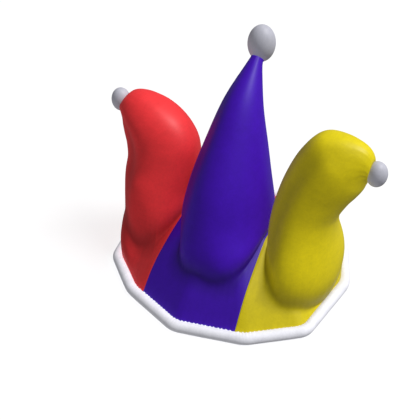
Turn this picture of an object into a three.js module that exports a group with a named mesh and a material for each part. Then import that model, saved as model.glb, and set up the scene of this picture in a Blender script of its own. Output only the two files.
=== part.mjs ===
// A jester hat: a padded rim roll, a crown of three cloth panels, a stuffed point that
// grows out of each panel, and a ball sewn to each tip.
// Millimetres, +Z up. The front of the hat looks along -Y and the yellow point is at +X.
// Z = 0 is the surface that the rim rests on, and the middle of the rim is over the origin.

import * as THREE from "three";

// Driving dimensions, in millimetres.
const RIM_RADIUS = 98; // middle of the hat to the middle of the roll
const ROLL_THICKNESS = 9.4;
const ROLL_PRESSED = 0.7; // how much of the roll's underside is pressed flat
const CLOTH = 2.2; // felt and its backing
const GAP = 0.3; // clearance between neighbouring pieces
const CROWN_HEIGHT = 58; // middle of the crown above the middle of the roll
const FRONT_SWELL = 3.2; // how far the front point swells out over its crease
const SIDE_SWELL = 4; // and a side point

const FRONT_HEIGHT = 183.5; // ball of the front point above the middle of the roll
const FRONT_LEAN = 35; // how far that ball stands behind the middle of the hat
const FRONT_WIDTH = 66; // front point where it leaves the crown

const SIDE_HEIGHT = 121; // ball of a side point above the middle of the roll
const SIDE_REACH = 111; // ball of a side point to the middle of the hat
const SIDE_SET = 3; // how far that ball stands behind the middle of the hat
const SIDE_BREADTH = 56; // side point from front to back

const FRONT_BALL = { width: 21.4, height: 28.8 };
const SIDE_BALL = { width: 15.7, height: 20 };

// Angles, in degrees about +Z from +X.
const FRONT_SEAM_ANGLE = 298;
const BACK_SEAM_ANGLE = 90;
const CLOTH_SEAT_ANGLE = 35; // where the cloth's edge lies on the roll, above its inner side
const CORNER_SPREAD = 3; // how far round the rim each soft corner is spread
const FRONT_MOUTH_ANGLE = 28; // how much of the ball the front tip takes in

// How full the crown is: a high power is a full dome, 1 is a straight cone.
const CROWN_FULLNESS = { front: 2.0, back: 1.0 };
const BACK_SPREAD = 70; // degrees from the back seam to where the crown is fully domed

// Corners of the soft twelve-sided rim: where each one is, and its radius as a share of
// RIM_RADIUS. The roll bends a little unevenly, as a padded one does.
const RIM_CORNERS = [
  { angle: 8, radius: 0.98 },
  { angle: 40, radius: 0.99 },
  { angle: 69, radius: 1.0 },
  { angle: 97, radius: 1.0 },
  { angle: 126, radius: 1.0 },
  { angle: 154, radius: 1.0 },
  { angle: 182, radius: 1.01 },
  { angle: 210, radius: 1.03 },
  { angle: 236, radius: 0.97 },
  { angle: 269, radius: 0.99 },
  { angle: 302, radius: 1.0 },
  { angle: 330, radius: 1.055 },
];

// The seam between the front panel and a side panel, from the rim to the back of the front
// point, in plan. out and back are shares of RIM_RADIUS.
const FRONT_SEAM = [
  { out: 0.425, back: -0.65 },
  { out: 0.405, back: -0.455 },
  { out: 0.383, back: -0.25 },
  { out: 0.35, back: -0.02 },
  { out: 0.24, back: 0.17 },
  { out: 0, back: 0.33 },
];

// Where each point leaves the crown, in plan, as shares of RIM_RADIUS. square is the power of
// the superellipse that its front half follows: 2 is an ellipse, and more has fuller corners.
const FRONT_ROOT = { out: 0.05, back: -0.2, halfOut: 0.31, halfBack: 0.46, square: 3 };
const RED_ROOT = { out: 0.655, back: -0.025, halfOut: 0.275, halfBack: 0.455, square: 2.5 };
const YELLOW_ROOT = { out: 0.655, back: -0.035, halfOut: 0.262, halfBack: 0.475, square: 2 };

// The tip of each side point: how many degrees above outwards it faces, and how much of the
// ball it takes in, in degrees.
const RED_TIP = { rise: 30, mouth: 57 };
const YELLOW_TIP = { rise: -7, mouth: 57 };

// Where the outer side of a side panel stands up and carries the crease higher: the height it
// adds, the turn round the root where it is highest, how many degrees it runs out over either
// side, and how far the standing cloth swells outwards.
const RED_SHOULDER = { height: 42, turn: -32, spread: 66, swell: 7 };
const YELLOW_SHOULDER = { height: 14, turn: 50, spread: 60, swell: 2 };
const NO_SHOULDER = { height: 0, turn: 0, spread: 1, swell: 0 };

// Sections of the front point, from above its crease to its tip. rise is a share of
// FRONT_HEIGHT, back of FRONT_LEAN, wide and deep are half sizes as shares of FRONT_WIDTH,
// and tilt is how many degrees the section leans back.
const FRONT_SECTIONS = [
  { rise: 0.332, back: -0.38, wide: 0.54, deep: 0.72, tilt: 4 },
  { rise: 0.48, back: -0.27, wide: 0.463, deep: 0.6, tilt: 9 },
  { rise: 0.642, back: -0.04, wide: 0.358, deep: 0.43, tilt: 16 },
  { rise: 0.8, back: 0.23, wide: 0.232, deep: 0.25, tilt: 26 },
  { rise: 0.925, back: 0.69, wide: 0.095, deep: 0.095, tilt: 42 },
];

// Sections of the side points, each by its two edges: the inner one, which becomes the upper
// one where the point bends over, and the outer one, which becomes the lower one. The outs
// are shares of SIDE_REACH, the rises of SIDE_HEIGHT, wide is a half size as a share of
// SIDE_BREADTH, and back is a share of RIM_RADIUS. The red point is stuffed fuller outwards
// and the yellow one bends over higher.
const RED_SECTIONS = [
  { innerOut: 0.335, innerRise: 0.534, outerOut: 0.88, outerRise: 0.585, wide: 0.64, back: -0.05 },
  { innerOut: 0.325, innerRise: 0.687, outerOut: 0.878, outerRise: 0.68, wide: 0.55, back: -0.02 },
  { innerOut: 0.352, innerRise: 0.845, outerOut: 0.9, outerRise: 0.758, wide: 0.49, back: 0.0 },
  { innerOut: 0.455, innerRise: 0.977, outerOut: 0.925, outerRise: 0.825, wide: 0.44, back: 0.01 },
  { innerOut: 0.605, innerRise: 1.06, outerOut: 0.94, outerRise: 0.873, wide: 0.385, back: 0.02 },
  { innerOut: 0.78, innerRise: 1.108, outerOut: 0.945, outerRise: 0.9, wide: 0.3, back: 0.025 },
];
const YELLOW_SECTIONS = [
  { innerOut: 0.327, innerRise: 0.534, outerOut: 0.785, outerRise: 0.5, wide: 0.62, back: -0.04 },
  { innerOut: 0.345, innerRise: 0.687, outerOut: 0.79, outerRise: 0.625, wide: 0.54, back: -0.02 },
  { innerOut: 0.395, innerRise: 0.87, outerOut: 0.846, outerRise: 0.742, wide: 0.48, back: 0.0 },
  { innerOut: 0.48, innerRise: 1.05, outerOut: 0.9, outerRise: 0.82, wide: 0.44, back: 0.01 },
  { innerOut: 0.6, innerRise: 1.18, outerOut: 0.93, outerRise: 0.868, wide: 0.385, back: 0.02 },
  { innerOut: 0.765, innerRise: 1.2, outerOut: 0.94, outerRise: 0.9, wide: 0.29, back: 0.025 },
];

const FINISHES = {
  rim: { color: 0xf2f1fa, roughness: 0.85, metalness: 0 },
  red: { color: 0xd23238, roughness: 0.8, metalness: 0 },
  blue: { color: 0x3d14a4, roughness: 0.8, metalness: 0 },
  yellow: { color: 0xc9b414, roughness: 0.8, metalness: 0 },
  ball: { color: 0xb9bac6, roughness: 0.45, metalness: 0 },
};

// How finely the shapes are cut.
const CUTS = {
  rollSides: 12,
  sideArc: 25,
  frontArc: 8,
  frontSeam: 10,
  backSeam: 3,
  panelRows: 3,
  pouchRows: 4,
  sectionSteps: 2,
  tipRows: 4,
  seatRows: 2,
  ballRound: 16,
  ballHigh: 10,
};

const RADIANS = Math.PI / 180;
const ROLL_RADIUS = ROLL_THICKNESS / 2;
const ROLL_MIDDLE = ROLL_RADIUS - ROLL_PRESSED;

const mix = (a, b, share) => a + (b - a) * share;
const smooth = (share) => {
  const s = Math.min(Math.max(share, 0), 1);
  return s * s * (3 - 2 * s);
};
const wrap = (degrees) => ((degrees % 360) + 360) % 360;

// Rim

// Radius of the straight-sided rim at an angle, as a share of RIM_RADIUS: the point where
// that direction crosses the side between the two corners beside it.
function straightShare(degrees) {
  const next = RIM_CORNERS.findIndex((corner, i) => {
    const from = RIM_CORNERS.at(i - 1);
    return wrap(degrees - from.angle) <= wrap(corner.angle - from.angle);
  });
  const from = RIM_CORNERS.at(next - 1);
  const to = RIM_CORNERS[next];
  const a = wrap(degrees - from.angle) * RADIANS;
  const b = wrap(to.angle - degrees) * RADIANS;
  const chord = from.radius * Math.sin(a) + to.radius * Math.sin(b);
  return (from.radius * to.radius * Math.sin(a + b)) / chord;
}

// The same with soft corners: the mean over a few degrees either side.
function rimRadius(degrees) {
  const offsets = [-1, -0.5, 0, 0.5, 1];
  const shares = offsets.map((o) => straightShare(degrees + o * CORNER_SPREAD));
  return (RIM_RADIUS * shares.reduce((sum, s) => sum + s, 0)) / shares.length;
}

// Angles at which the roll is cut: each corner, both its sides, and the middle of the next side.
function rollAngles() {
  return RIM_CORNERS.flatMap((corner, i) => {
    const span = wrap(RIM_CORNERS[(i + 1) % RIM_CORNERS.length].angle - corner.angle);
    const steps = [-CORNER_SPREAD, 0, CORNER_SPREAD, span / 2];
    return steps.map((step) => corner.angle + step);
  });
}

// The roll's section: a circle whose underside is pressed flat, as [outwards, up].
function rollSection() {
  const low = Math.asin((ROLL_PRESSED - ROLL_RADIUS) / ROLL_RADIUS);
  const turn = (Math.PI - 2 * low) / (CUTS.rollSides - 1);
  return Array.from({ length: CUTS.rollSides }, (_, i) => {
    const a = low + i * turn;
    return [ROLL_RADIUS * Math.cos(a), ROLL_RADIUS * Math.sin(a)];
  });
}

function makeRim() {
  const section = rollSection();
  const rings = rollAngles().map((degrees) => {
    const radius = rimRadius(degrees);
    const a = degrees * RADIANS;
    return section.map(([out, up]) => new THREE.Vector3(
      (radius + out) * Math.cos(a),
      (radius + out) * Math.sin(a),
      ROLL_MIDDLE + up,
    )).reverse();
  });
  rings.push(rings[0]);
  return geometryOf(quads(rings));
}

// Crown

// Radius and height, over the middle of the roll, at which the cloth's edge lies on the roll.
function crownEdge(degrees) {
  const seat = CLOTH_SEAT_ANGLE * RADIANS;
  const away = ROLL_RADIUS + GAP;
  return { radius: rimRadius(degrees) - away * Math.cos(seat), height: away * Math.sin(seat) };
}

// A place on the crown's outer face over a place in plan: a dome at the front and sides
// that runs out into a straight cone at the back. Side is -1 where the hat is worked
// mirrored, as its red side is, since the rim isn't quite the same on both sides.
function onCrown(x, y, side) {
  const degrees = Math.atan2(y, side * x) / RADIANS;
  const edge = crownEdge(degrees);
  const share = Math.min(Math.hypot(x, y) / edge.radius, 1);
  const fromBack = Math.abs(((degrees - BACK_SEAM_ANGLE + 540) % 360) - 180);
  const fullness = mix(CROWN_FULLNESS.back, CROWN_FULLNESS.front, smooth(fromBack / BACK_SPREAD));
  const rise = (CROWN_HEIGHT - edge.height) * (1 - share ** fullness);
  return new THREE.Vector3(x, y, ROLL_MIDDLE + edge.height + rise);
}

// The crown's outward direction at a place in plan, from its slope just inside that place.
function crownNormal(x, y, side) {
  const step = 0.5;
  const inwards = 1 - (2 * step) / Math.hypot(x, y);
  const slope = (dx, dy) => onCrown(x * inwards + dx, y * inwards + dy, side)
    .sub(onCrown(x * inwards - dx, y * inwards - dy, side));
  return slope(step, 0).cross(slope(0, step)).normalize();
}

// The rim's edge of a panel between two angles, in plan.
function rimArc(fromDegrees, toDegrees, count, side) {
  return Array.from({ length: count + 1 }, (_, i) => {
    const degrees = mix(fromDegrees, toDegrees, i / count);
    const a = degrees * RADIANS;
    const radius = crownEdge(side > 0 ? degrees : 180 - degrees).radius;
    return new THREE.Vector2(radius * Math.cos(a), radius * Math.sin(a));
  });
}

// The front seam in plan from the rim to the back of the front point, moved sideways.
function frontSeam(moved, side) {
  const rim = rimArc(FRONT_SEAM_ANGLE, FRONT_SEAM_ANGLE, 1, side)[0];
  const rows = FRONT_SEAM.map((row) => new THREE.Vector2(row.out, row.back));
  const spline = new THREE.SplineCurve([rim, ...rows.map((row) => row.multiplyScalar(RIM_RADIUS))]);
  return Array.from({ length: CUTS.frontSeam + 1 }, (_, i) => {
    const share = i / CUTS.frontSeam;
    const along = spline.getTangentAt(share);
    const aside = new THREE.Vector2(along.y, -along.x).multiplyScalar(moved);
    return spline.getPointAt(share).add(aside);
  });
}

// The front panel's outline in plan, anticlockwise from its left end on the rim.
function frontOutline() {
  const arc = rimArc(180 - (FRONT_SEAM_ANGLE - 360), FRONT_SEAM_ANGLE, CUTS.frontArc, 1);
  const right = frontSeam(-GAP / 2, 1);
  right.at(-1).x = 0;
  const left = frontSeam(-GAP / 2, -1).map((p) => new THREE.Vector2(-p.x, p.y)).reverse();
  return [left.at(-1), ...arc.slice(1, -1), ...right, ...left.slice(1, -1)];
}

// A side panel's outline in plan, anticlockwise from its front end on the rim.
function sideOutline(side) {
  const arc = rimArc(FRONT_SEAM_ANGLE - 360, BACK_SEAM_ANGLE, CUTS.sideArc, side);
  const front = frontSeam(GAP / 2, side).reverse();
  front[0].x = GAP / 2;
  const rimEnd = arc.at(-1);
  const back = Array.from({ length: CUTS.backSeam }, (_, i) =>
    new THREE.Vector2(GAP / 2, mix(rimEnd.y, front[0].y, i / CUTS.backSeam)));
  return [front.at(-1), ...arc.slice(1, -1), ...back, ...front.slice(0, -1)];
}

// Points

// A place on a section's ring, at a turn round it from its outward to its backward half size.
function ringPoint({ centre, halfOut, halfBack }, turn) {
  return centre.clone()
    .addScaledVector(halfOut, Math.cos(turn))
    .addScaledVector(halfBack, Math.sin(turn));
}

// Values between the rows of a section table, on smooth curves through the rows.
function finerSections(sections) {
  const keys = Object.keys(sections[0]);
  const count = (sections.length - 1) * CUTS.sectionSteps;
  const curves = keys.map((key) => new THREE.SplineCurve(
    sections.map((row, i) => new THREE.Vector2(i / (sections.length - 1), row[key])),
  ));
  return Array.from({ length: count + 1 }, (_, i) =>
    Object.fromEntries(keys.map((key, k) => [key, curves[k].getPoint(i / count).y])));
}

// Turns round a root's middle, one for each place of the outline, ever increasing.
function turnsOf(outline, root) {
  const turns = outline.map((p) => Math.atan2(
    (p.y - root.back * RIM_RADIUS) / root.halfBack,
    (p.x - root.out * RIM_RADIUS) / root.halfOut,
  ));
  for (let i = 1; i < turns.length; i++) {
    while (turns[i] < turns[i - 1]) turns[i] += 2 * Math.PI;
  }
  return turns;
}

// The crease that a point rises from, in plan: an ellipse behind and a superellipse in front.
function creaseAt(turn, root) {
  const power = Math.sin(turn) < 0 ? 2 / root.square : 1;
  const fuller = (share) => Math.sign(share) * Math.abs(share) ** power;
  return new THREE.Vector2(
    root.out + root.halfOut * fuller(Math.cos(turn)),
    root.back + root.halfBack * fuller(Math.sin(turn)),
  ).multiplyScalar(RIM_RADIUS);
}

// How much of a shoulder's height there is at a turn round the root, from 0 to 1.
function shoulderShare(turn, shoulder) {
  const away = Math.abs(wrap(turn / RADIANS - shoulder.turn + 180) - 180);
  return smooth(1 - away / shoulder.spread);
}

// A place on a panel's outer face, at a share of the way in plan from its edge to its crease.
// Where the panel has a shoulder it stands up off the crown and swells outwards.
function onPanel(from, to, share, standing, shoulder, side) {
  const flat = from.clone().lerp(to, share);
  const place = onCrown(flat.x, flat.y, side);
  const out = flat.clone().setLength(shoulder.swell * standing * Math.sin(Math.PI * share));
  place.x += out.x;
  place.y += out.y;
  place.z += shoulder.height * standing * share;
  return place;
}

// The outer face of a panel and its point, as rings of places from the rim to the rounded
// tip, and then down into the hollow that the ball sits in.
function pointRings({ side, outline, root, shoulder, swell, sections, ball, tip, mouth, faces }) {
  const turns = turnsOf(outline, root);
  const even = turns.map((_, i) => turns[0] + (2 * Math.PI * i) / turns.length);
  const creasePlan = turns.map((turn) => creaseAt(turn, root));
  const panel = Array.from({ length: CUTS.panelRows + 1 }, (_, i) => outline.map((from, j) =>
    onPanel(from, creasePlan[j], i / CUTS.panelRows, shoulderShare(turns[j], shoulder), shoulder, side)));
  const crease = panel.pop();

  const stuffed = sections.map((section, i) => turns.map((turn, j) =>
    ringPoint(section, mix(turn, even[j], i / sections.length))));

  const pouch = Array.from({ length: CUTS.pouchRows }, (_, i) => {
    const share = (i + 1) / (CUTS.pouchRows + 1);
    const out = swell * Math.sin(Math.PI * share ** 0.6);
    return crease.map((from, j) => {
      const facing = ((1 + Math.cos(turns[j] - faces)) / 2) ** 2;
      const place = from.clone().lerp(stuffed[0][j], share ** 2);
      place.x += out * facing * Math.cos(turns[j]);
      place.y += out * facing * Math.sin(turns[j]);
      place.z = mix(from.z, stuffed[0][j].z, share);
      return place;
    });
  });

  const backAxis = tip.clone().cross(sections.at(-1).halfOut).normalize();
  const outAxis = backAxis.clone().cross(tip);
  const seat = Array.from({ length: CUTS.seatRows }, (_, i) => {
    const angle = mouth * RADIANS * (1 - i / CUTS.seatRows);
    const ring = {
      centre: tip.clone().multiplyScalar(-Math.cos(angle)),
      halfOut: outAxis.clone().multiplyScalar(Math.sin(angle)),
      halfBack: backAxis.clone().multiplyScalar(Math.sin(angle)),
    };
    return even.map((turn) => ringPoint(ring, turn).multiply(ball.seat).add(ball.centre));
  });
  const seatFloor = tip.clone().negate().multiply(ball.seat).add(ball.centre);
  const rounded = Array.from({ length: CUTS.tipRows }, (_, i) => {
    const angle = (Math.PI / 2) * ((i + 1) / (CUTS.tipRows + 1));
    return stuffed.at(-1).map((from, j) => {
      const step = seat[0][j].clone().sub(from);
      const forwards = tip.clone().multiplyScalar(step.dot(tip));
      return from.clone()
        .addScaledVector(forwards, Math.sin(angle))
        .addScaledVector(step.sub(forwards), 1 - Math.cos(angle));
    });
  });
  const hollow = [...panel, crease, ...pouch, ...stuffed, ...rounded];
  return { hollow, seat, seatFloor };
}

// Each ring moved into the cloth by its thickness, square to the face.
function innerRings(rings, side) {
  return rings.map((ring, i) => ring.map((place, j) => {
    if (i === 0) {
      const normal = crownNormal(place.x, place.y, side);
      return place.clone().addScaledVector(normal, -CLOTH);
    }
    const along = ring.at((j + 1) % ring.length).clone().sub(ring.at(j - 1));
    const up = (rings[i + 1] ?? ring)[j].clone().sub(rings[i - 1][j]);
    return place.clone().addScaledVector(along.cross(up).normalize(), -CLOTH);
  }));
}

// A closed cloth shell: outer face, seat of the ball, inner face and the edge between them.
function makeShell(point) {
  const { hollow, seat, seatFloor } = pointRings(point);
  const inner = innerRings(hollow, point.side);
  const innerTip = seatFloor.clone().addScaledVector(point.tip, -CLOTH);
  return [
    ...quads([...hollow, ...seat]),
    ...fan(seat.at(-1), seatFloor),
    ...quads([...inner].reverse()),
    ...fan([...inner.at(-1)].reverse(), innerTip),
    ...quads([inner[0], hollow[0]]),
  ];
}

// Meshes

// Triangles between neighbouring rings of places, facing away from the rings' middle when
// the rings run anticlockwise and follow each other upwards.
function quads(rings) {
  const triangles = [];
  for (let i = 0; i + 1 < rings.length; i++) {
    const count = rings[i].length;
    for (let j = 0; j < count; j++) {
      const k = (j + 1) % count;
      triangles.push([rings[i][j], rings[i][k], rings[i + 1][k]]);
      triangles.push([rings[i][j], rings[i + 1][k], rings[i + 1][j]]);
    }
  }
  return triangles;
}

// Triangles from a ring to one place.
function fan(ring, place) {
  return ring.map((from, j) => [from, ring[(j + 1) % ring.length], place]);
}

function geometryOf(triangles) {
  return new THREE.BufferGeometry().setFromPoints(triangles.flat());
}

// The same triangles on the other side of the hat.
function mirrored(triangles) {
  const flip = (p) => new THREE.Vector3(-p.x, p.y, p.z);
  return triangles.map(([a, b, c]) => [flip(a), flip(c), flip(b)]);
}

// A ball's middle and the hollow that it sits in, a gap larger all round.
function ballAt(size, out, back, height) {
  const halfWidth = size.width / 2 + GAP;
  return {
    centre: new THREE.Vector3(out, back, ROLL_MIDDLE + height),
    seat: new THREE.Vector3(halfWidth, halfWidth, size.height / 2 + GAP),
  };
}

function makeBall(size) {
  const radius = size.width / 2;
  const geometry = new THREE.SphereGeometry(radius, CUTS.ballRound, CUTS.ballHigh);
  geometry.rotateX(Math.PI / 2);
  geometry.scale(1, 1, size.height / size.width);
  return geometry;
}

const frontBall = ballAt(FRONT_BALL, 0, FRONT_LEAN, FRONT_HEIGHT);
const sideBall = ballAt(SIDE_BALL, SIDE_REACH, SIDE_SET, SIDE_HEIGHT);

function frontPoint() {
  const sections = finerSections(FRONT_SECTIONS).map((row) => {
    const tilt = row.tilt * RADIANS;
    const backwards = new THREE.Vector3(0, Math.cos(tilt), -Math.sin(tilt));
    return {
      centre: new THREE.Vector3(0, row.back * FRONT_LEAN, ROLL_MIDDLE + row.rise * FRONT_HEIGHT),
      halfOut: new THREE.Vector3(row.wide * FRONT_WIDTH, 0, 0),
      halfBack: backwards.multiplyScalar(row.deep * FRONT_WIDTH),
    };
  });
  return makeShell({
    side: 1,
    outline: frontOutline(),
    root: FRONT_ROOT,
    shoulder: NO_SHOULDER,
    swell: FRONT_SWELL,
    sections,
    ball: frontBall,
    tip: frontBall.centre.clone().sub(sections.at(-1).centre).normalize(),
    mouth: FRONT_MOUTH_ANGLE,
    faces: -Math.PI / 2,
  });
}

function sidePoint({ table, root, shoulder, tip, side }) {
  const edgeAt = (out, back, rise) => new THREE.Vector3(
    out * SIDE_REACH,
    back * RIM_RADIUS,
    ROLL_MIDDLE + rise * SIDE_HEIGHT,
  );
  const sections = finerSections(table).map((row) => {
    const inner = edgeAt(row.innerOut, row.back, row.innerRise);
    const outer = edgeAt(row.outerOut, row.back, row.outerRise);
    return {
      centre: inner.clone().add(outer).multiplyScalar(0.5),
      halfOut: outer.clone().sub(inner).multiplyScalar(0.5),
      halfBack: new THREE.Vector3(0, row.wide * SIDE_BREADTH, 0),
    };
  });
  const facing = tip.rise * RADIANS;
  return makeShell({
    side,
    outline: sideOutline(side),
    root,
    shoulder,
    swell: SIDE_SWELL,
    sections,
    ball: sideBall,
    tip: new THREE.Vector3(Math.cos(facing), 0, Math.sin(facing)),
    mouth: tip.mouth,
    faces: 0,
  });
}

function named(name, geometry, finish) {
  geometry.computeVertexNormals();
  const mesh = new THREE.Mesh(geometry, new THREE.MeshStandardMaterial(finish));
  mesh.name = name;
  return mesh;
}

function ballMesh(name, size, place, side) {
  const mesh = named(name, makeBall(size), FINISHES.ball);
  mesh.position.set(side * place.centre.x, place.centre.y, place.centre.z);
  return mesh;
}

const redSide = mirrored(sidePoint({
  table: RED_SECTIONS,
  root: RED_ROOT,
  shoulder: RED_SHOULDER,
  tip: RED_TIP,
  side: -1,
}));
const yellowSide = sidePoint({
  table: YELLOW_SECTIONS,
  root: YELLOW_ROOT,
  shoulder: YELLOW_SHOULDER,
  tip: YELLOW_TIP,
  side: 1,
});

const crown = new THREE.Group();
crown.add(named("red_point", geometryOf(redSide), FINISHES.red));
crown.add(named("blue_point", geometryOf(frontPoint()), FINISHES.blue));
crown.add(named("yellow_point", geometryOf(yellowSide), FINISHES.yellow));

const balls = new THREE.Group();
balls.add(ballMesh("ball_red", SIDE_BALL, sideBall, -1));
balls.add(ballMesh("ball_blue", FRONT_BALL, frontBall, 1));
balls.add(ballMesh("ball_yellow", SIDE_BALL, sideBall, 1));

const hat = new THREE.Group();
hat.add(named("rim", makeRim(), FINISHES.rim));
hat.add(crown);
hat.add(balls);

export default hat;
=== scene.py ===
import math

import bpy
import numpy as np
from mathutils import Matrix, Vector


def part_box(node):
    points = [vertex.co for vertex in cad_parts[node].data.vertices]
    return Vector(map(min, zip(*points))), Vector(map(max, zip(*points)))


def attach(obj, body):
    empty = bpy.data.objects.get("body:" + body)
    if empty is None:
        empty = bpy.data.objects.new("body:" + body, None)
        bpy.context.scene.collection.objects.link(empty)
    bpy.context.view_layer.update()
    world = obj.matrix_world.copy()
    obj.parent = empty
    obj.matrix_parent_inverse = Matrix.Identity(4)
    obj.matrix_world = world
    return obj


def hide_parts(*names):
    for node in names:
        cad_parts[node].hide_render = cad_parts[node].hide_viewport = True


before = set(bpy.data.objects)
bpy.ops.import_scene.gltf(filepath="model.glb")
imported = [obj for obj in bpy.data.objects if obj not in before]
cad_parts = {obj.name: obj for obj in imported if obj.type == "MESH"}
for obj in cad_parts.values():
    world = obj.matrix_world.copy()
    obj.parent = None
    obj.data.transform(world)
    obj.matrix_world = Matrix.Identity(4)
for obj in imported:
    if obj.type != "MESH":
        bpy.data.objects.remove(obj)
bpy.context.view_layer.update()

# A cloth jester hat: a padded rim roll, a crown of three felt panels, a point that grows out
# of each panel, and a ball at each tip. Shapes are worked out in millimetres and put into the
# meshes in metres. The front of the hat looks along -Y and the yellow point is at +X.

MM = 0.001
RADIANS = math.pi / 180

# Driving sizes, in millimetres
RIM_RADIUS = 98
ROLL_THICKNESS = 9.4
ROLL_PRESSED = 0.7
CLOTH = 2.2
GAP = 0.3
SEAM_GAP = 0.06
CROWN_HEIGHT = 58
FRONT_SWELL = 3.2
RED_SWELL = 2
YELLOW_SWELL = 4
FRONT_HEIGHT = 183.5
FRONT_LEAN = 35
FRONT_WIDTH = 66
SIDE_HEIGHT = 121
SIDE_REACH = 111
SIDE_BREADTH = 56

# Angles, in degrees about +Z from +X
FRONT_SEAM_ANGLE = 298
BACK_SEAM_ANGLE = 90
CLOTH_SEAT_ANGLE = 35
CORNER_SPREAD = 3
FRONT_MOUTH_ANGLE = 28

CROWN_FULLNESS = {"front": 2.0, "back": 1.0}
BACK_SPREAD = 70

# Corners of the soft twelve-sided rim: angle, and radius as a share of RIM_RADIUS
RIM_CORNERS = np.array([
    (8, 0.98), (40, 0.99), (69, 1.0), (97, 1.0), (126, 1.0), (154, 1.0),
    (182, 1.01), (210, 1.03), (236, 0.97), (269, 0.99), (302, 1.0), (330, 1.055),
])

# The seam between the front panel and a side panel in plan: out, back, as shares of RIM_RADIUS
FRONT_SEAM = np.array([
    (0.425, -0.65), (0.405, -0.455), (0.383, -0.25), (0.35, -0.02), (0.24, 0.17), (0, 0.33),
])

# Where each point leaves the crown, in plan: out, back, half out, half back, shares of
# RIM_RADIUS, and the power of the superellipse that its front half follows
FRONT_ROOT = (0.05, -0.2, 0.31, 0.46, 3)
RED_ROOT = (0.655, -0.025, 0.275, 0.455, 2.5)
YELLOW_ROOT = (0.655, -0.035, 0.262, 0.475, 2)

# The tip of each side point: how many degrees above outwards it faces, and how much of the
# ball it takes in, in degrees
RED_TIP = (30, 57)
YELLOW_TIP = (-7, 57)

# Where the outer side of a side panel stands up and carries the crease higher: added height,
# the turn round the root where it is highest, how far it runs out, and how far it swells
RED_SHOULDER = (42, -32, 66, 4)
YELLOW_SHOULDER = (14, 50, 60, 2)
NO_SHOULDER = (0, 0, 1, 0)

# Sections of the front point: rise, back, half wide, half deep, tilt in degrees
FRONT_SECTIONS = np.array([
    (0.332, -0.38, 0.54, 0.72, 4),
    (0.48, -0.27, 0.463, 0.6, 9),
    (0.642, -0.04, 0.358, 0.43, 16),
    (0.8, 0.23, 0.232, 0.25, 26),
    (0.925, 0.69, 0.095, 0.095, 42),
])

# Sections of the side points by their two edges: inner out and rise, outer out and rise,
# half wide, back
RED_SECTIONS = np.array([
    (0.335, 0.534, 0.88, 0.585, 0.64, -0.05),
    (0.325, 0.687, 0.878, 0.68, 0.55, -0.02),
    (0.352, 0.845, 0.9, 0.758, 0.49, 0.0),
    (0.455, 0.977, 0.925, 0.825, 0.44, 0.01),
    (0.605, 1.06, 0.94, 0.873, 0.385, 0.02),
    (0.78, 1.108, 0.945, 0.9, 0.3, 0.025),
])
YELLOW_SECTIONS = np.array([
    (0.327, 0.534, 0.785, 0.5, 0.62, -0.04),
    (0.345, 0.687, 0.79, 0.625, 0.54, -0.02),
    (0.395, 0.87, 0.846, 0.742, 0.48, 0.0),
    (0.48, 1.05, 0.9, 0.82, 0.44, 0.01),
    (0.6, 1.18, 0.93, 0.868, 0.385, 0.02),
    (0.765, 1.2, 0.94, 0.9, 0.29, 0.025),
])

# The cloth's turned-in edges, in millimetres, and how much of their dip is left at the roll
SEAM_DEPTH = 0.3
SEAM_WIDTH = 1.5
RIM_DIP_SHARE = 0.3
ROLL_TUCK = 0.7
EDGE_TOLERANCE = 0.5

# How wide the bell curves are that soften crease, lip and tip, and how far they reach, in rows
CREASE_SOFT_ROWS = 3
CREASE_REACH_ROWS = 11
LIP_SOFT_ROWS = 5
LIP_REACH_ROWS = 14
TIP_SOFT_ROWS = 4
TIP_REACH_ROWS = 12

# Painted shade, colour darkened round the crease: its reach as a share of the lip, the panel's
# reach against the lip's, how dark it is at the crease's bottom, and how much the whole panel takes
PAINTED_SHADE_REACH = 0.34
PAINTED_SHADE_PANEL_SIDE_REACH = 1.6
PAINTED_SHADE_STRENGTH = 0.5
PANEL_PAINTED_SHADE = 0.5

# The groove up each point: depth in millimetres, spread in radians, share of the crease's painted
# shade that is painted along it, and the turn in degrees round the point where it runs
GROOVE_DEPTH = 1.8
GROOVE_SPREAD = 0.3
GROOVE_PAINTED_SHADE = 0.5
FRONT_GROOVE = 222
RED_GROOVE = -55
YELLOW_GROOVE = 240

# Relief in millimetres: gathers at the crease and the tip, flutes along the roll, folds
GATHER_DEPTH = 0.03
GATHER_REACH = 0.55
GATHERS = 40
TIP_GATHER_DEPTH = 0.04
TIP_GATHERS = 14
FLUTE_DEPTH = 0.05
FLUTE_SPACING = 5.5
FLUTE_REACH = 11
FOLD_DEPTH = 0.15
FOLDS = 5
FOLD_TWIST = 3

# Puckers at the roll's corners: depth, and reach and waves by the degree
PUCKER_DEPTH = 0.22
PUCKER_REACH = 5
PUCKER_WAVES = 4.4

# Stitches that sew the panels to the roll, in millimetres, the angle at which they enter the
# roll, and the row of the panel that they reach
STITCH_SPACING = 3.2
STITCH_THICKNESS = 0.55
STITCH_SLANT = 1.1
STITCH_LIFT = 0.55
STITCH_LEAN = 0.4
STITCH_ANGLE = 64
STITCH_ROW = 1
STITCH_EDGE_TOLERANCE = 0.6
STITCH_STEPS = 7
STITCH_SIDES = 6

# Rows and columns of the meshes
ROLL_STEPS = 900
ROLL_SIDES = 48
SIDE_SPANS = {"rim": 220, "back": 26, "front": 84}
FRONT_SPANS = {"rim": 96, "front": 100}
PANEL_ROWS = 30
POUCH_ROWS = 24
POINT_ROWS = 70
TIP_ROWS = 12
SEAT_ROWS = 5
INNER_SKIP = 3
BALL_ROUND = 128
BALL_HIGH = 96

ROLL_RADIUS = ROLL_THICKNESS / 2
ROLL_MIDDLE = ROLL_RADIUS - ROLL_PRESSED


# Small helpers

def mix(a, b, share):
    return a + (b - a) * share


def smooth(share):
    """An S curve from 0 to 1."""
    s = np.clip(share, 0, 1)
    return s * s * (3 - 2 * s)


def unit(vectors):
    return vectors / np.linalg.norm(vectors, axis=-1, keepdims=True)


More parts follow.
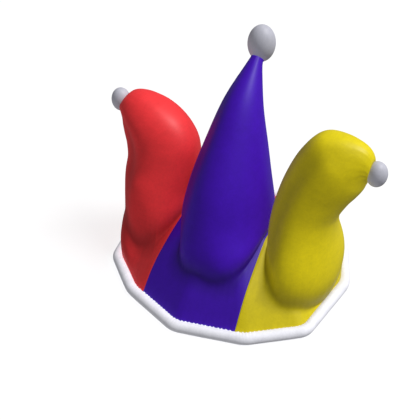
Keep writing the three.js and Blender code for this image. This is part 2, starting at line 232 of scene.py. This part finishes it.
def spline(rows, count):
    """Catmull-Rom: count rows spread evenly over the spans of a table, each a cubic through its
    two neighbouring rows whose slope at a row is half the step from the row before to the next."""
    t = np.linspace(0, len(rows) - 1, count)
    i = np.minimum(t.astype(int), len(rows) - 2)
    w = (t - i)[:, None]
    before = rows[np.maximum(i - 1, 0)]
    here = rows[i]
    after = rows[i + 1]
    beyond = rows[np.minimum(i + 2, len(rows) - 1)]
    slope_here = (after - before) / 2
    slope_after = (beyond - here) / 2
    return (
        (2 * w**3 - 3 * w**2 + 1) * here
        + (w**3 - 2 * w**2 + w) * slope_here
        + (3 * w**2 - 2 * w**3) * after
        + (w**3 - w**2) * slope_after
    )


# The rim and the crown

def straight_share(degrees):
    """Radius of a straight-sided ring through the corners, as a share: where a direction crosses
    the side between the corners beside it, from the sines of the angles to both corners."""
    q = np.mod(degrees, 360)
    k = np.searchsorted(RIM_CORNERS[:, 0], q) % len(RIM_CORNERS)
    from_angle, from_radius = np.moveaxis(RIM_CORNERS[k - 1], -1, 0)
    to_angle, to_radius = np.moveaxis(RIM_CORNERS[k], -1, 0)
    a = np.mod(q - from_angle, 360) * RADIANS
    b = np.mod(to_angle - q, 360) * RADIANS
    return from_radius * to_radius * np.sin(a + b) / (
        from_radius * np.sin(a) + to_radius * np.sin(b))


def rim_radius(degrees):
    """The straight-sided ring's radius, averaged over CORNER_SPREAD degrees either side."""
    offsets = np.linspace(-CORNER_SPREAD, CORNER_SPREAD, 9)
    return RIM_RADIUS * sum(straight_share(degrees + o) for o in offsets) / len(offsets)


def crown_edge(degrees):
    """Radius and height at which the cloth's edge lies, tucked a little way into the padded roll.
    """
    away = ROLL_RADIUS - ROLL_TUCK
    seat = CLOTH_SEAT_ANGLE * RADIANS
    return rim_radius(degrees) - away * math.cos(seat), away * math.sin(seat)


def on_crown(plan):
    """Places on the crown over places in plan: height falls from the middle with the power
    CROWN_FULLNESS of the share of the way to the rim, full in front and straight at the back."""
    x, y = plan[..., 0], plan[..., 1]
    degrees = np.arctan2(y, x) / RADIANS
    radius, height = crown_edge(degrees)
    share = np.minimum(np.hypot(x, y) / radius, 1)
    from_back = np.abs(np.mod(degrees - BACK_SEAM_ANGLE + 540, 360) - 180)
    fullness = mix(CROWN_FULLNESS["back"], CROWN_FULLNESS["front"], smooth(from_back / BACK_SPREAD))
    rise = (CROWN_HEIGHT - height) * (1 - share**fullness)
    return np.stack([x, y, ROLL_MIDDLE + height + rise], -1)


def rim_arc(from_degrees, to_degrees, count):
    """count places in plan along the cloth's edge on the roll, the last one left out."""
    degrees = np.linspace(from_degrees, to_degrees, count, endpoint=False)
    radius, _ = crown_edge(degrees)
    a = degrees * RADIANS
    return np.stack([radius * np.cos(a), radius * np.sin(a)], -1)


def front_seam(side, count, moved):
    """count + 1 evenly spaced places in plan along the seam between the front panel and the
    side panel at side, from the rim to the back, moved outwards from the front panel."""
    rim = rim_arc(FRONT_SEAM_ANGLE if side > 0 else 180 - FRONT_SEAM_ANGLE, 0, 1)
    rows = np.vstack([rim, FRONT_SEAM * RIM_RADIUS * (side, 1)])
    dense = spline(rows, 400)
    length = np.r_[0, np.cumsum(np.linalg.norm(np.diff(dense, axis=0), axis=1))]
    even = np.linspace(0, length[-1], count + 1)
    line = np.stack([np.interp(even, length, dense[:, k]) for k in range(2)], -1)
    along = unit(np.gradient(line, axis=0))
    return line + moved * side * along[:, ::-1] * (1, -1)


def front_outline():
    """The front panel's edge in plan, anticlockwise from its left end on the rim."""
    right = front_seam(1, FRONT_SPANS["front"], -SEAM_GAP / 2)
    left = front_seam(-1, FRONT_SPANS["front"], -SEAM_GAP / 2)[::-1]
    right[-1, 0] = 0
    arc = rim_arc(180 - FRONT_SEAM_ANGLE + 360, FRONT_SEAM_ANGLE, FRONT_SPANS["rim"])
    return np.vstack([left[-1:], arc[1:], right, left[1:-1]])


def side_outline(side):
    """A side panel's edge in plan, from its front end on the rim, anticlockwise where side is 1
    and clockwise where it is -1."""
    seam = front_seam(side, SIDE_SPANS["front"], SEAM_GAP / 2)[::-1]
    seam[0, 0] = side * SEAM_GAP / 2
    start = FRONT_SEAM_ANGLE - 360
    if side > 0:
        arc = rim_arc(start, BACK_SEAM_ANGLE, SIDE_SPANS["rim"])
    else:
        arc = rim_arc(180 - start, 180 - BACK_SEAM_ANGLE, SIDE_SPANS["rim"])
    top = rim_arc(BACK_SEAM_ANGLE, 0, 1)[0]
    heights = np.linspace(top[1], seam[0, 1], SIDE_SPANS["back"], endpoint=False)
    back = np.stack([np.full(SIDE_SPANS["back"], side * SEAM_GAP / 2), heights], -1)
    return np.vstack([seam[-1:], arc[1:], back, seam[:-1]])


# The points

def ellipse(section, turns):
    """A section's ring: its centre plus the outward half size times the cosine of each turn
    and the backward one times its sine."""
    centre, half_out, half_back = section
    return (centre[..., None, :]
            + half_out[..., None, :] * np.cos(turns)[..., None]
            + half_back[..., None, :] * np.sin(turns)[..., None])


def front_sections():
    rise, back, wide, deep, tilt = spline(FRONT_SECTIONS, POINT_ROWS).T
    zero = np.zeros(POINT_ROWS)
    centre = np.stack([zero, back * FRONT_LEAN, ROLL_MIDDLE + rise * FRONT_HEIGHT], -1)
    half_out = np.stack([wide * FRONT_WIDTH, zero, zero], -1)
    half_back = np.stack([zero, np.cos(tilt * RADIANS), -np.sin(tilt * RADIANS)], -1)
    return centre, half_out, half_back * (deep * FRONT_WIDTH)[:, None]


def side_sections(table, side):
    inner_out, inner_rise, outer_out, outer_rise, wide, back = spline(table, POINT_ROWS).T
    zero = np.zeros(POINT_ROWS)

    def edge(out, rise):
        return np.stack([side * out * SIDE_REACH, back * RIM_RADIUS,
                         ROLL_MIDDLE + rise * SIDE_HEIGHT], -1)

    inner = edge(inner_out, inner_rise)
    outer = edge(outer_out, outer_rise)
    half_back = np.stack([zero, wide * SIDE_BREADTH, zero], -1)
    return (inner + outer) / 2, (outer - inner) / 2, half_back


def tip_direction(tip, side):
    """The way a side point's tip faces."""
    rise = tip[0] * RADIANS
    return np.array([side * math.cos(rise), 0, math.sin(rise)])


def grid_normals(rings):
    """Unit normals of a grid of rings: the way along each ring crossed with the way up."""
    along = np.roll(rings, -1, axis=1) - np.roll(rings, 1, axis=1)
    up = np.gradient(rings, axis=0)
    return unit(np.cross(along, up))


def shoulder_share(turns, shoulder):
    """How much of a shoulder's height there is at each turn, from 0 to 1."""
    _, highest, spread, _ = shoulder
    away = np.abs(np.mod(turns / RADIANS - highest + 180, 360) - 180)
    return smooth(1 - away / spread)


def panel_rows(outline, crease_plan, standing, shoulder):
    """Rows of a panel from its edge to its crease, on the crown over places lerped in plan.
    Where the panel has a shoulder it stands up off the crown in proportion to the share of the
    way, and swells out from the hat's middle by the sine of half a turn of that share."""
    height, _, _, swell = shoulder
    share = (np.arange(PANEL_ROWS + 1) / PANEL_ROWS) ** 1.25
    plan = mix(outline[None], crease_plan[None], share[:, None, None])
    places = on_crown(plan)
    out = swell * standing[None] * np.sin(math.pi * share)[:, None]
    places[..., :2] += unit(plan) * out[..., None]
    places[..., 2] += height * standing[None] * share[:, None]
    return places


def softened(rings, middle, width, reach):
    """Rings blurred along the rows by a bell curve width rows wide, wholly at the middle row
    and fading out over reach rows, so that a fold becomes a soft, wide trough."""
    steps = np.arange(-12, 13)
    bell = np.exp(-0.5 * (steps / width) ** 2)
    rows = np.arange(len(rings))
    near = np.clip(rows[:, None] + steps[None], 0, len(rings) - 1)
    blurred = np.einsum("rk,rkcd->rcd", np.tile(bell / bell.sum(), (len(rings), 1)), rings[near])
    share = smooth(1 - np.abs(rows - middle) / reach)
    return mix(rings, blurred, share[:, None, None])


def cloth_point(side, outline, root, shoulder, swell, sections, ball, tip, mouth, faces,
                groove_turn):
    """The closed skin of a panel and its point, as two grids of rings. The outer one runs from
    the rim and the seams over the panel into the crease, out over the stuffed lip, up the point
    and over its rounded tip into the cup that holds the ball: each ring of the lip is mixed from
    crease to first section by the square of its share, and the tip is a quarter ellipse from
    the last section to the cup's mouth that starts the way the point heads. The inner one lies
    CLOTH inside it. The third grid is the outer face's painted shade: how much its colour is
    darkened round the crease, over the whole panel and along the groove."""
    out, back, half_out, half_back = (RIM_RADIUS * np.array(root[:4])).tolist()
    plan = outline * (side, 1)
    turns = np.unwrap(np.arctan2((plan[:, 1] - back) / half_back, (plan[:, 0] - out) / half_out))
    even = turns[0] + np.arange(len(turns)) * 2 * math.pi / len(turns)

    power = np.where(np.sin(turns) < 0, 2 / root[4], 1)
    across = np.sign(np.cos(turns)) * np.abs(np.cos(turns)) ** power
    behind = np.sign(np.sin(turns)) * np.abs(np.sin(turns)) ** power
    crease_plan = np.stack([side * (out + half_out * across), back + half_back * behind], -1)
    panel = panel_rows(outline, crease_plan, shoulder_share(turns, shoulder), shoulder)
    crease = panel[-1]

    along = np.arange(POINT_ROWS)[:, None] / POINT_ROWS
    stuffed = ellipse(sections, mix(turns[None], even[None], along))

    share = (np.arange(1, POUCH_ROWS) / POUCH_ROWS)[:, None]
    facing = ((1 + np.cos(turns - faces)) / 2) ** 2
    bulge = swell * np.sin(math.pi * share**0.6) * facing
    pouch = mix(crease[None], stuffed[:1], (share**2)[..., None])
    pouch[..., 0] += side * bulge * np.cos(turns)
    pouch[..., 1] += bulge * np.sin(turns)
    pouch[..., 2] = mix(crease[None, :, 2], stuffed[:1, :, 2], share)

    centre, size = ball
    seat_size = size / 2 + GAP / 2
    back_axis = unit(np.cross(tip, sections[1][-1])) * side
    out_axis = np.cross(back_axis, tip) * side
    angles = mouth * RADIANS * (1 - np.arange(SEAT_ROWS) / SEAT_ROWS)[:, None, None]
    seat = centre + seat_size * (-tip * np.cos(angles) + np.sin(angles) * (
        out_axis * np.cos(even)[None, :, None] + back_axis * np.sin(even)[None, :, None]))

    quarter = (math.pi / 2 * np.arange(1, TIP_ROWS) / TIP_ROWS)[:, None, None]
    step = seat[0] - stuffed[-1]
    heading = unit(stuffed[-1] - stuffed[-2])
    forwards = heading * np.maximum(np.sum(step * heading, -1, keepdims=True), 0)
    rounded = stuffed[-1:] + forwards * np.sin(quarter) + (step - forwards) * (1 - np.cos(quarter))

    outer = np.concatenate([panel, pouch, stuffed, rounded])
    outer = softened(outer, PANEL_ROWS, CREASE_SOFT_ROWS, CREASE_REACH_ROWS)
    outer = softened(outer, PANEL_ROWS + POUCH_ROWS, LIP_SOFT_ROWS, LIP_REACH_ROWS)
    outer = softened(outer, len(outer) - TIP_ROWS, TIP_SOFT_ROWS, TIP_REACH_ROWS)
    normals = grid_normals(outer) * side
    groove = groove_share(len(outer), turns, groove_turn)
    outer = outer + normals * (relief(outer, turns, outline) - GROOVE_DEPTH * groove)[..., None]
    inner = outer - normals * CLOTH
    inner = np.concatenate([inner[:1], inner[1:-1:INNER_SKIP], inner[-1:]])
    floor = centre - tip * (seat_size + CLOTH)
    inner_tip = mix(inner[-1:], floor[None, None], 0.96)
    seat_tip = mix(seat[-1:], (centre - tip * seat_size)[None, None], 0.96)
    # Painted shade of the outer face: round the crease and over the panel, or along the groove
    outer_painted_shade = np.zeros((len(outer) + len(seat) + 1, len(turns)))
    outer_painted_shade[:len(outer)] = np.maximum(crease_painted_shade(len(outer)), GROOVE_PAINTED_SHADE * groove)
    return np.concatenate([outer, seat, seat_tip]), np.concatenate([inner, inner_tip]), outer_painted_shade


def from_crease(rows):
    """How far above the crease each row is, as a share of the lip."""
    return (np.arange(rows)[:, None] - PANEL_ROWS) / POUCH_ROWS


def up_point(rows):
    """How far up the point each row is, from 0 at the crease to 1 at the tip."""
    return np.clip((np.arange(rows)[:, None] - PANEL_ROWS) / (rows - PANEL_ROWS), 0, 1)


def crease_painted_shade(rows):
    """Painted shade for each row, how much its colour is darkened round the crease: a bell curve of
    its way from the crease, and never less than the panel's share on the panel, which it shades all
    over."""
    away = from_crease(rows)
    reach = np.where(away < 0, PAINTED_SHADE_PANEL_SIDE_REACH * PAINTED_SHADE_REACH, PAINTED_SHADE_REACH)
    painted_shade = np.exp(-(away / reach) ** 2)
    return np.where(away < 0, np.maximum(painted_shade, PANEL_PAINTED_SHADE), painted_shade)


def groove_share(rows, turns, groove_turn):
    """A bell curve round the point at groove_turn that starts at the crease and fades upwards."""
    away = np.mod(turns - groove_turn + math.pi, 2 * math.pi) - math.pi
    return (smooth(from_crease(rows) / 0.4) * smooth((1 - up_point(rows)) / 0.5)
            * np.exp(-(away / GROOVE_SPREAD) ** 2))


def relief(outer, turns, outline):
    """How far the outer face stands out, in millimetres: it dips where the cloth is turned in
    at a seam, is fluted where it is gathered on to the roll, is finely gathered at the crease
    and the tip, and has long shallow folds."""
    steps = np.linalg.norm(np.diff(outer, axis=0), axis=-1)
    from_edge = np.concatenate([np.zeros((1, outer.shape[1])), np.cumsum(steps, axis=0)])
    degrees = np.arctan2(outline[:, 1], outline[:, 0]) / RADIANS
    on_rim = np.hypot(*outline.T) > crown_edge(degrees)[0] - EDGE_TOLERANCE
    dip = np.where(on_rim, RIM_DIP_SHARE, 1.0) * SEAM_DEPTH * np.exp(-(from_edge / SEAM_WIDTH) ** 2)

    round_rim = degrees * RADIANS * RIM_RADIUS / FLUTE_SPACING
    flute_wave = np.sin(2 * math.pi * round_rim + 1.1 * np.sin(0.7 * round_rim))
    flutes = FLUTE_DEPTH * on_rim * flute_wave * smooth(from_edge / 3) * np.exp(
        -(from_edge / FLUTE_REACH) ** 2)

    near_crease = np.exp(-(from_crease(len(outer)) / GATHER_REACH) ** 2)
    phase = 1.3 * np.sin(3 * turns) + 0.7 * np.sin(7 * turns + 1)
    gathers = GATHER_DEPTH * near_crease * np.sin(GATHERS * turns + phase)

    up = up_point(len(outer))
    folds = FOLD_DEPTH * smooth(up / 0.15) * smooth((1 - up) / 0.2) * np.sin(
        FOLDS * turns + FOLD_TWIST * up + 1.5 * np.sin(4 * up))
    at_tip = smooth((up - 0.82) / 0.14) * smooth((1 - up) / 0.03)
    tip_gathers = TIP_GATHER_DEPTH * at_tip * np.sin(TIP_GATHERS * turns)
    return -dip + flutes + gathers + folds + tip_gathers


# Meshes

def grid_faces(rings, columns):
    """Quads between neighbouring rings of a grid whose columns close on themselves."""
    i = np.arange(rings - 1)[:, None] * columns
    j = np.arange(columns)[None]
    k = (j + 1) % columns
    return np.stack([i + j, i + k, i + columns + k, i + columns + j], -1).reshape(-1, 4)


def mesh_object(name, points, quads, caps=()):
    """A smooth mesh from points in millimetres, four-sided faces, and caps of many sides."""
    faces = quads.tolist() + [list(c) for c in caps]
    mesh = bpy.data.meshes.new(name)
    mesh.from_pydata((points * MM).tolist(), [], faces)
    mesh.validate()
    mesh.shade_smooth()
    obj = bpy.data.objects.new(name, mesh)
    bpy.context.scene.collection.objects.link(obj)
    return obj


def dress(obj, node, material):
    """Gives a piece its finish and its body, and hides the imported node that it stands for."""
    obj.data.materials.append(material)
    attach(obj, "root")
    if node:
        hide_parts(node)
    return obj


def point_object(name, side, **shape):
    """The mesh of a panel and its point, with an attribute of painted shade that says how much each
    place's colour is darkened round the crease, over the panel and along the groove, and its outer
    rings."""
    outer, inner, outer_painted_shade = cloth_point(side, **shape)
    columns = outer.shape[1]
    rings = np.concatenate([inner[::-1], outer])
    painted_shade = np.concatenate([np.zeros(inner.shape[:2]), outer_painted_shade])
    quads = grid_faces(len(rings), columns)
    first = np.arange(columns)
    last = (len(rings) - 1) * columns + first
    caps = [first[::-1], last]
    if side < 0:
        quads = quads[:, ::-1]
        caps = [first, last[::-1]]
    obj = mesh_object(name, rings.reshape(-1, 3), quads, caps)
    # Painted shade for the felt, stored for each place on the mesh
    attribute = obj.data.attributes.new("painted_shade", "FLOAT", "POINT")
    attribute.data.foreach_set("value", painted_shade.ravel().astype(np.float32))
    return obj, outer


def roll_object():
    """The padded roll: a circle carried round the soft-cornered ring, its underside pressed
    flat on the floor, with fine puckers on the inside of each corner."""
    degrees = np.linspace(0, 360, ROLL_STEPS, endpoint=False)
    a = degrees * RADIANS
    radius = rim_radius(degrees)
    corner_angles = RIM_CORNERS[:, 0]
    away = np.abs(np.mod(degrees[:, None] - corner_angles[None] + 180, 360) - 180).min(1)
    around = np.linspace(0, 2 * math.pi, ROLL_SIDES, endpoint=False)
    inside = (0.5 - 0.5 * np.cos(around))[None]
    at_corner = PUCKER_DEPTH * np.exp(-(away / PUCKER_REACH) ** 2)
    pucker = at_corner[:, None] * inside * np.cos(PUCKER_WAVES * away)[:, None]
    wander = 0.06 * np.sin(7 * a + 0.6) + 0.04 * np.sin(19 * a + 2)
    thick = ROLL_RADIUS + wander[:, None] + pucker
    out = radius[:, None] + thick * np.cos(around)[None]
    up = ROLL_MIDDLE + thick * np.sin(around)[None]
    up = np.maximum(up, 0)
    points = np.stack([out * np.cos(a)[:, None], out * np.sin(a)[:, None], up], -1)
    i = np.arange(ROLL_STEPS)[:, None]
    j = np.arange(ROLL_SIDES)[None]
    i_next = (i + 1) % ROLL_STEPS
    j_next = (j + 1) % ROLL_SIDES
    quads = np.stack([i * ROLL_SIDES + j, i_next * ROLL_SIDES + j,
                      i_next * ROLL_SIDES + j_next, i * ROLL_SIDES + j_next], -1)
    return mesh_object("rim_roll", points.reshape(-1, 3), quads.reshape(-1, 4))


def stitch_object(name, panels):
    """Short slanting threads that sew each panel to the roll, a ring of tubes: each runs from
    the roll's top over the cloth's edge into the panel, lifted in the middle by the sine of
    half a turn of its share."""
    share = np.linspace(0, 1, STITCH_STEPS)[:, None]
    around = np.linspace(0, 2 * math.pi, STITCH_SIDES, endpoint=False)
    seat = STITCH_ANGLE * RADIANS
    faces = grid_faces(STITCH_STEPS, STITCH_SIDES)
    points, quads, caps = [], [], []
    for outer in panels:
        degrees = np.arctan2(outer[0, :, 1], outer[0, :, 0]) / RADIANS
        reach = np.hypot(outer[0, :, 0], outer[0, :, 1])
        on_rim = reach > crown_edge(degrees)[0] - STITCH_EDGE_TOLERANCE
        columns = np.flatnonzero(on_rim)
        edge = outer[0, columns]
        length = np.r_[0, np.cumsum(np.linalg.norm(np.diff(edge, axis=0), axis=1))]
        count = int(length[-1] / STITCH_SPACING)
        for at in (np.arange(count) + 0.5) * STITCH_SPACING:
            column = columns[np.searchsorted(length, at)]
            slanted = columns[min(np.searchsorted(length, at + STITCH_SLANT), len(columns) - 1)]
            turn = degrees[column] * RADIANS
            outwards = np.array([math.cos(turn), math.sin(turn), 0])
            radius = rim_radius(degrees[column]) - ROLL_RADIUS * math.cos(seat)
            start = outwards * radius + (0, 0, ROLL_MIDDLE + ROLL_RADIUS * math.sin(seat))
            end = outer[STITCH_ROW, slanted]
            lift = unit(np.array([0, 0, 1]) - outwards * STITCH_LEAN)
            line = mix(start, end, share) + lift * STITCH_LIFT * np.sin(math.pi * share)
            along = unit(end - start)
            across = unit(np.cross(along, lift))
            over = np.cross(across, along)
            tube = line[:, None] + STITCH_THICKNESS / 2 * (
                across * np.cos(around)[:, None] + over * np.sin(around)[:, None])
            base = len(points) * STITCH_STEPS * STITCH_SIDES
            points.append(tube.reshape(-1, 3))
            quads.append(faces + base)
            first = base + np.arange(STITCH_SIDES)
            caps += [first[::-1], first + (STITCH_STEPS - 1) * STITCH_SIDES]
    return mesh_object(name, np.concatenate(points), np.concatenate(quads), caps)


def ball_place(node):
    low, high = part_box(node)
    low, high = np.array(low) / MM, np.array(high) / MM
    return (low + high) / 2, high - low


def ball_object(name, node):
    """An upright oval: the cosine and sine of latitude times the half sizes."""
    centre, size = ball_place(node)
    latitude = np.linspace(-math.pi / 2, math.pi / 2, BALL_HIGH + 1)[1:-1, None]
    turn = np.linspace(0, 2 * math.pi, BALL_ROUND, endpoint=False)[None]
    half = size / 2
    points = np.stack([half[0] * np.cos(latitude) * np.cos(turn),
                       half[1] * np.cos(latitude) * np.sin(turn),
                       half[2] * np.sin(latitude) * np.ones_like(turn)], -1) + centre
    rings = BALL_HIGH - 1
    first = np.arange(BALL_ROUND)
    last = (rings - 1) * BALL_ROUND + first
    quads = grid_faces(rings, BALL_ROUND)
    return mesh_object(name, points.reshape(-1, 3), quads, [first[::-1], last])


# Materials

def new_material(name):
    material = bpy.data.materials.new(name)
    material.use_nodes = True
    nodes = material.node_tree.nodes
    shader = nodes["Principled BSDF"]
    return material, nodes, material.node_tree.links, shader


def noise(nodes, links, coordinates, scale, detail, stretch=None, turn=(0, 0, 0)):
    texture = nodes.new("ShaderNodeTexNoise")
    texture.inputs["Scale"].default_value = scale
    texture.inputs["Detail"].default_value = detail
    source = coordinates
    if stretch:
        mapping = nodes.new("ShaderNodeMapping")
        mapping.inputs["Scale"].default_value = stretch
        mapping.inputs["Rotation"].default_value = turn
        links.new(coordinates, mapping.inputs["Vector"])
        source = mapping.outputs["Vector"]
    links.new(source, texture.inputs["Vector"])
    return texture.outputs["Fac"]


def blend_values(nodes, links, operation, a, b):
    node = nodes.new("ShaderNodeMath")
    node.operation = operation
    for socket, value in zip(node.inputs, (a, b)):
        if isinstance(value, (int, float)):
            socket.default_value = value
        else:
            links.new(value, socket)
    return node.outputs["Value"]


def felt(name, colour, roughness=0.5, sheen=0.03, depth=0.00012):
    """Felted wool: fibres that lie in three directions raise the surface and vary its colour,
    over a soft mottle a few millimetres across. Painted shade from a mesh attribute darkens its
    colour round creases, along grooves and over panels."""
    material, nodes, links, shader = new_material(name)
    place = nodes.new("ShaderNodeTexCoord").outputs["Object"]
    fibres = [noise(nodes, links, place, 900, 3, stretch, turn) for stretch, turn in (
        ((1, 0.16, 0.4), (0.3, 0.2, 0.5)),
        ((0.18, 1, 0.5), (1.1, 0.4, 2.1)),
        ((0.5, 0.4, 1), (2.3, 1.9, 1.2)),
    )]
    fibre = blend_values(nodes, links, "ADD", fibres[0], fibres[1])
    fibre = blend_values(nodes, links, "ADD", fibre, fibres[2])
    fibre = blend_values(nodes, links, "MULTIPLY", fibre, 1 / 3)
    mottle = noise(nodes, links, place, 130, 4)

    ramp = nodes.new("ShaderNodeValToRGB")
    ramp.color_ramp.elements[0].position = 0.34
    ramp.color_ramp.elements[1].position = 0.68
    dark = [c * 0.9 for c in colour]
    light = [min(1, c * 1.09) for c in colour]
    ramp.color_ramp.elements[0].color = (*dark, 1)
    ramp.color_ramp.elements[1].color = (*light, 1)
    tone = blend_values(nodes, links, "ADD", blend_values(nodes, links, "MULTIPLY", fibre, 0.65),
                        blend_values(nodes, links, "MULTIPLY", mottle, 0.35))
    links.new(tone, ramp.inputs["Fac"])
    # Painted shade: the mesh's attribute darkens the colour by up to half, standing in for shade
    # round creases, along grooves and over panels
    painted_shade = nodes.new("ShaderNodeAttribute")
    painted_shade.attribute_name = "painted_shade"
    darker = nodes.new("ShaderNodeMix")
    darker.data_type = "RGBA"
    darker.blend_type = "MULTIPLY"
    above, below = [socket for socket in darker.inputs if socket.type == "RGBA"]
    below.default_value = (*[1 - PAINTED_SHADE_STRENGTH] * 3, 1)
    links.new(painted_shade.outputs["Fac"], darker.inputs["Factor"])
    links.new(ramp.outputs["Color"], above)
    mixed = next(socket for socket in darker.outputs if socket.type == "RGBA")
    links.new(mixed, shader.inputs["Base Color"])

    bump = nodes.new("ShaderNodeBump")
    bump.inputs["Strength"].default_value = 0.5
    bump.inputs["Distance"].default_value = depth
    links.new(fibre, bump.inputs["Height"])
    links.new(bump.outputs["Normal"], shader.inputs["Normal"])
    shader.inputs["Roughness"].default_value = roughness
    shader.inputs["Specular IOR Level"].default_value = 0.3
    shader.inputs["Sheen Weight"].default_value = sheen
    shader.inputs["Sheen Roughness"].default_value = 0.4
    shader.inputs["Sheen Tint"].default_value = (*[min(1, c + 0.15) for c in colour], 1)
    return material


RED = felt("red felt", (0.88, 0.036, 0.042))
BLUE = felt("blue felt", (0.055, 0.002, 0.47))
YELLOW = felt("yellow felt", (0.78, 0.64, 0.004))
WHITE = felt("white roll felt", (0.86, 0.86, 0.93), roughness=0.7, depth=0.00006)
GREY = felt("grey ball felt", (0.53, 0.53, 0.6), roughness=0.5, depth=0.00004)

# The hat

red_ball = ball_place("ball_red")
blue_ball = ball_place("ball_blue")
yellow_ball = ball_place("ball_yellow")

roll = dress(roll_object(), "rim", WHITE)

front = front_sections()
blue, blue_face = point_object(
    "blue_panel_and_point", 1, outline=front_outline(), root=FRONT_ROOT, shoulder=NO_SHOULDER,
    swell=FRONT_SWELL, sections=front, ball=blue_ball, tip=unit(blue_ball[0] - front[0][-1]),
    mouth=FRONT_MOUTH_ANGLE, faces=-math.pi / 2, groove_turn=FRONT_GROOVE * RADIANS)
dress(blue, "blue_point", BLUE)
red, red_face = point_object(
    "red_panel_and_point", -1, outline=side_outline(-1), root=RED_ROOT, shoulder=RED_SHOULDER,
    swell=RED_SWELL, sections=side_sections(RED_SECTIONS, -1), ball=red_ball,
    tip=tip_direction(RED_TIP, -1), mouth=RED_TIP[1], faces=0,
    groove_turn=RED_GROOVE * RADIANS)
dress(red, "red_point", RED)
yellow, yellow_face = point_object(
    "yellow_panel_and_point", 1, outline=side_outline(1), root=YELLOW_ROOT,
    shoulder=YELLOW_SHOULDER, swell=YELLOW_SWELL, sections=side_sections(YELLOW_SECTIONS, 1),
    ball=yellow_ball, tip=tip_direction(YELLOW_TIP, 1), mouth=YELLOW_TIP[1], faces=0,
    groove_turn=YELLOW_GROOVE * RADIANS)
dress(yellow, "yellow_point", YELLOW)

stitches = stitch_object("rim_stitches", [blue_face, red_face, yellow_face])
dress(stitches, None, WHITE)

for colour_name in ("red", "blue", "yellow"):
    ball = ball_object(f"{colour_name}_tip_ball", f"ball_{colour_name}")
    dress(ball, f"ball_{colour_name}", GREY)

# Camera

CAMERA_PLACE = (236.9, -457.8, 441.6)
CAMERA_DOWN = 37
CAMERA_TURN = 29.74
CAMERA_FIELD = 30
SENSOR = 36


def make_camera():
    data = bpy.data.cameras.new("camera")
    data.sensor_width = SENSOR
    data.lens = SENSOR / 2 / math.tan(CAMERA_FIELD / 2 * RADIANS)
    camera = bpy.data.objects.new("camera", data)
    camera.location = [c * MM for c in CAMERA_PLACE]
    camera.rotation_euler = ((90 - CAMERA_DOWN) * RADIANS, 0, CAMERA_TURN * RADIANS)
    bpy.context.scene.collection.objects.link(camera)
    bpy.context.scene.camera = camera


# Floor and lights

KEY_SIDE = (0.5, 0.2, 0.84)
FILL_SIDE = (-0.31, -0.66, -0.56)
FLOOR_HALF = 6


def make_floor():
    mesh = bpy.data.meshes.new("floor")
    corners = [(x * FLOOR_HALF, y * FLOOR_HALF, 0) for x, y in ((-1, -1), (1, -1), (1, 1), (-1, 1))]
    mesh.from_pydata(corners, [], [(0, 1, 2, 3)])
    floor = bpy.data.objects.new("floor", mesh)
    bpy.context.scene.collection.objects.link(floor)
    material, _, _, shader = new_material("pale floor")
    shader.inputs["Base Color"].default_value = (0.97, 0.97, 0.97, 1)
    shader.inputs["Roughness"].default_value = 0.9
    mesh.materials.append(material)
    floor.visible_diffuse = False
    floor.visible_glossy = False
    floor.visible_shadow = False


def make_sun(name, towards, strength, softness, shadow=True, glossy=True):
    """A sun that shines from the direction towards, its disc softness degrees across."""
    data = bpy.data.lights.new(name, "SUN")
    data.energy = strength
    data.angle = softness * RADIANS
    data.use_shadow = shadow
    light = bpy.data.objects.new(name, data)
    x, y, z = towards
    light.rotation_euler = (math.atan2(math.hypot(x, y), z), 0, math.atan2(x, -y))
    light.visible_glossy = glossy
    bpy.context.scene.collection.objects.link(light)


def make_sky(colour, strength):
    world = bpy.data.worlds.new("studio")
    world.use_nodes = True
    background = world.node_tree.nodes["Background"]
    background.inputs["Color"].default_value = (*colour, 1)
    background.inputs["Strength"].default_value = strength
    bpy.context.scene.world = world


make_camera()
make_floor()
make_sun("key", KEY_SIDE, 0.6, 30)
make_sun("key_unshaded", KEY_SIDE, 2.7, 10, shadow=False)
make_sun("fill", FILL_SIDE, 0.8, 30, shadow=False, glossy=False)
make_sky((0.97, 0.98, 1.0), 0.21)
bpy.context.scene.view_settings.view_transform = "Standard"
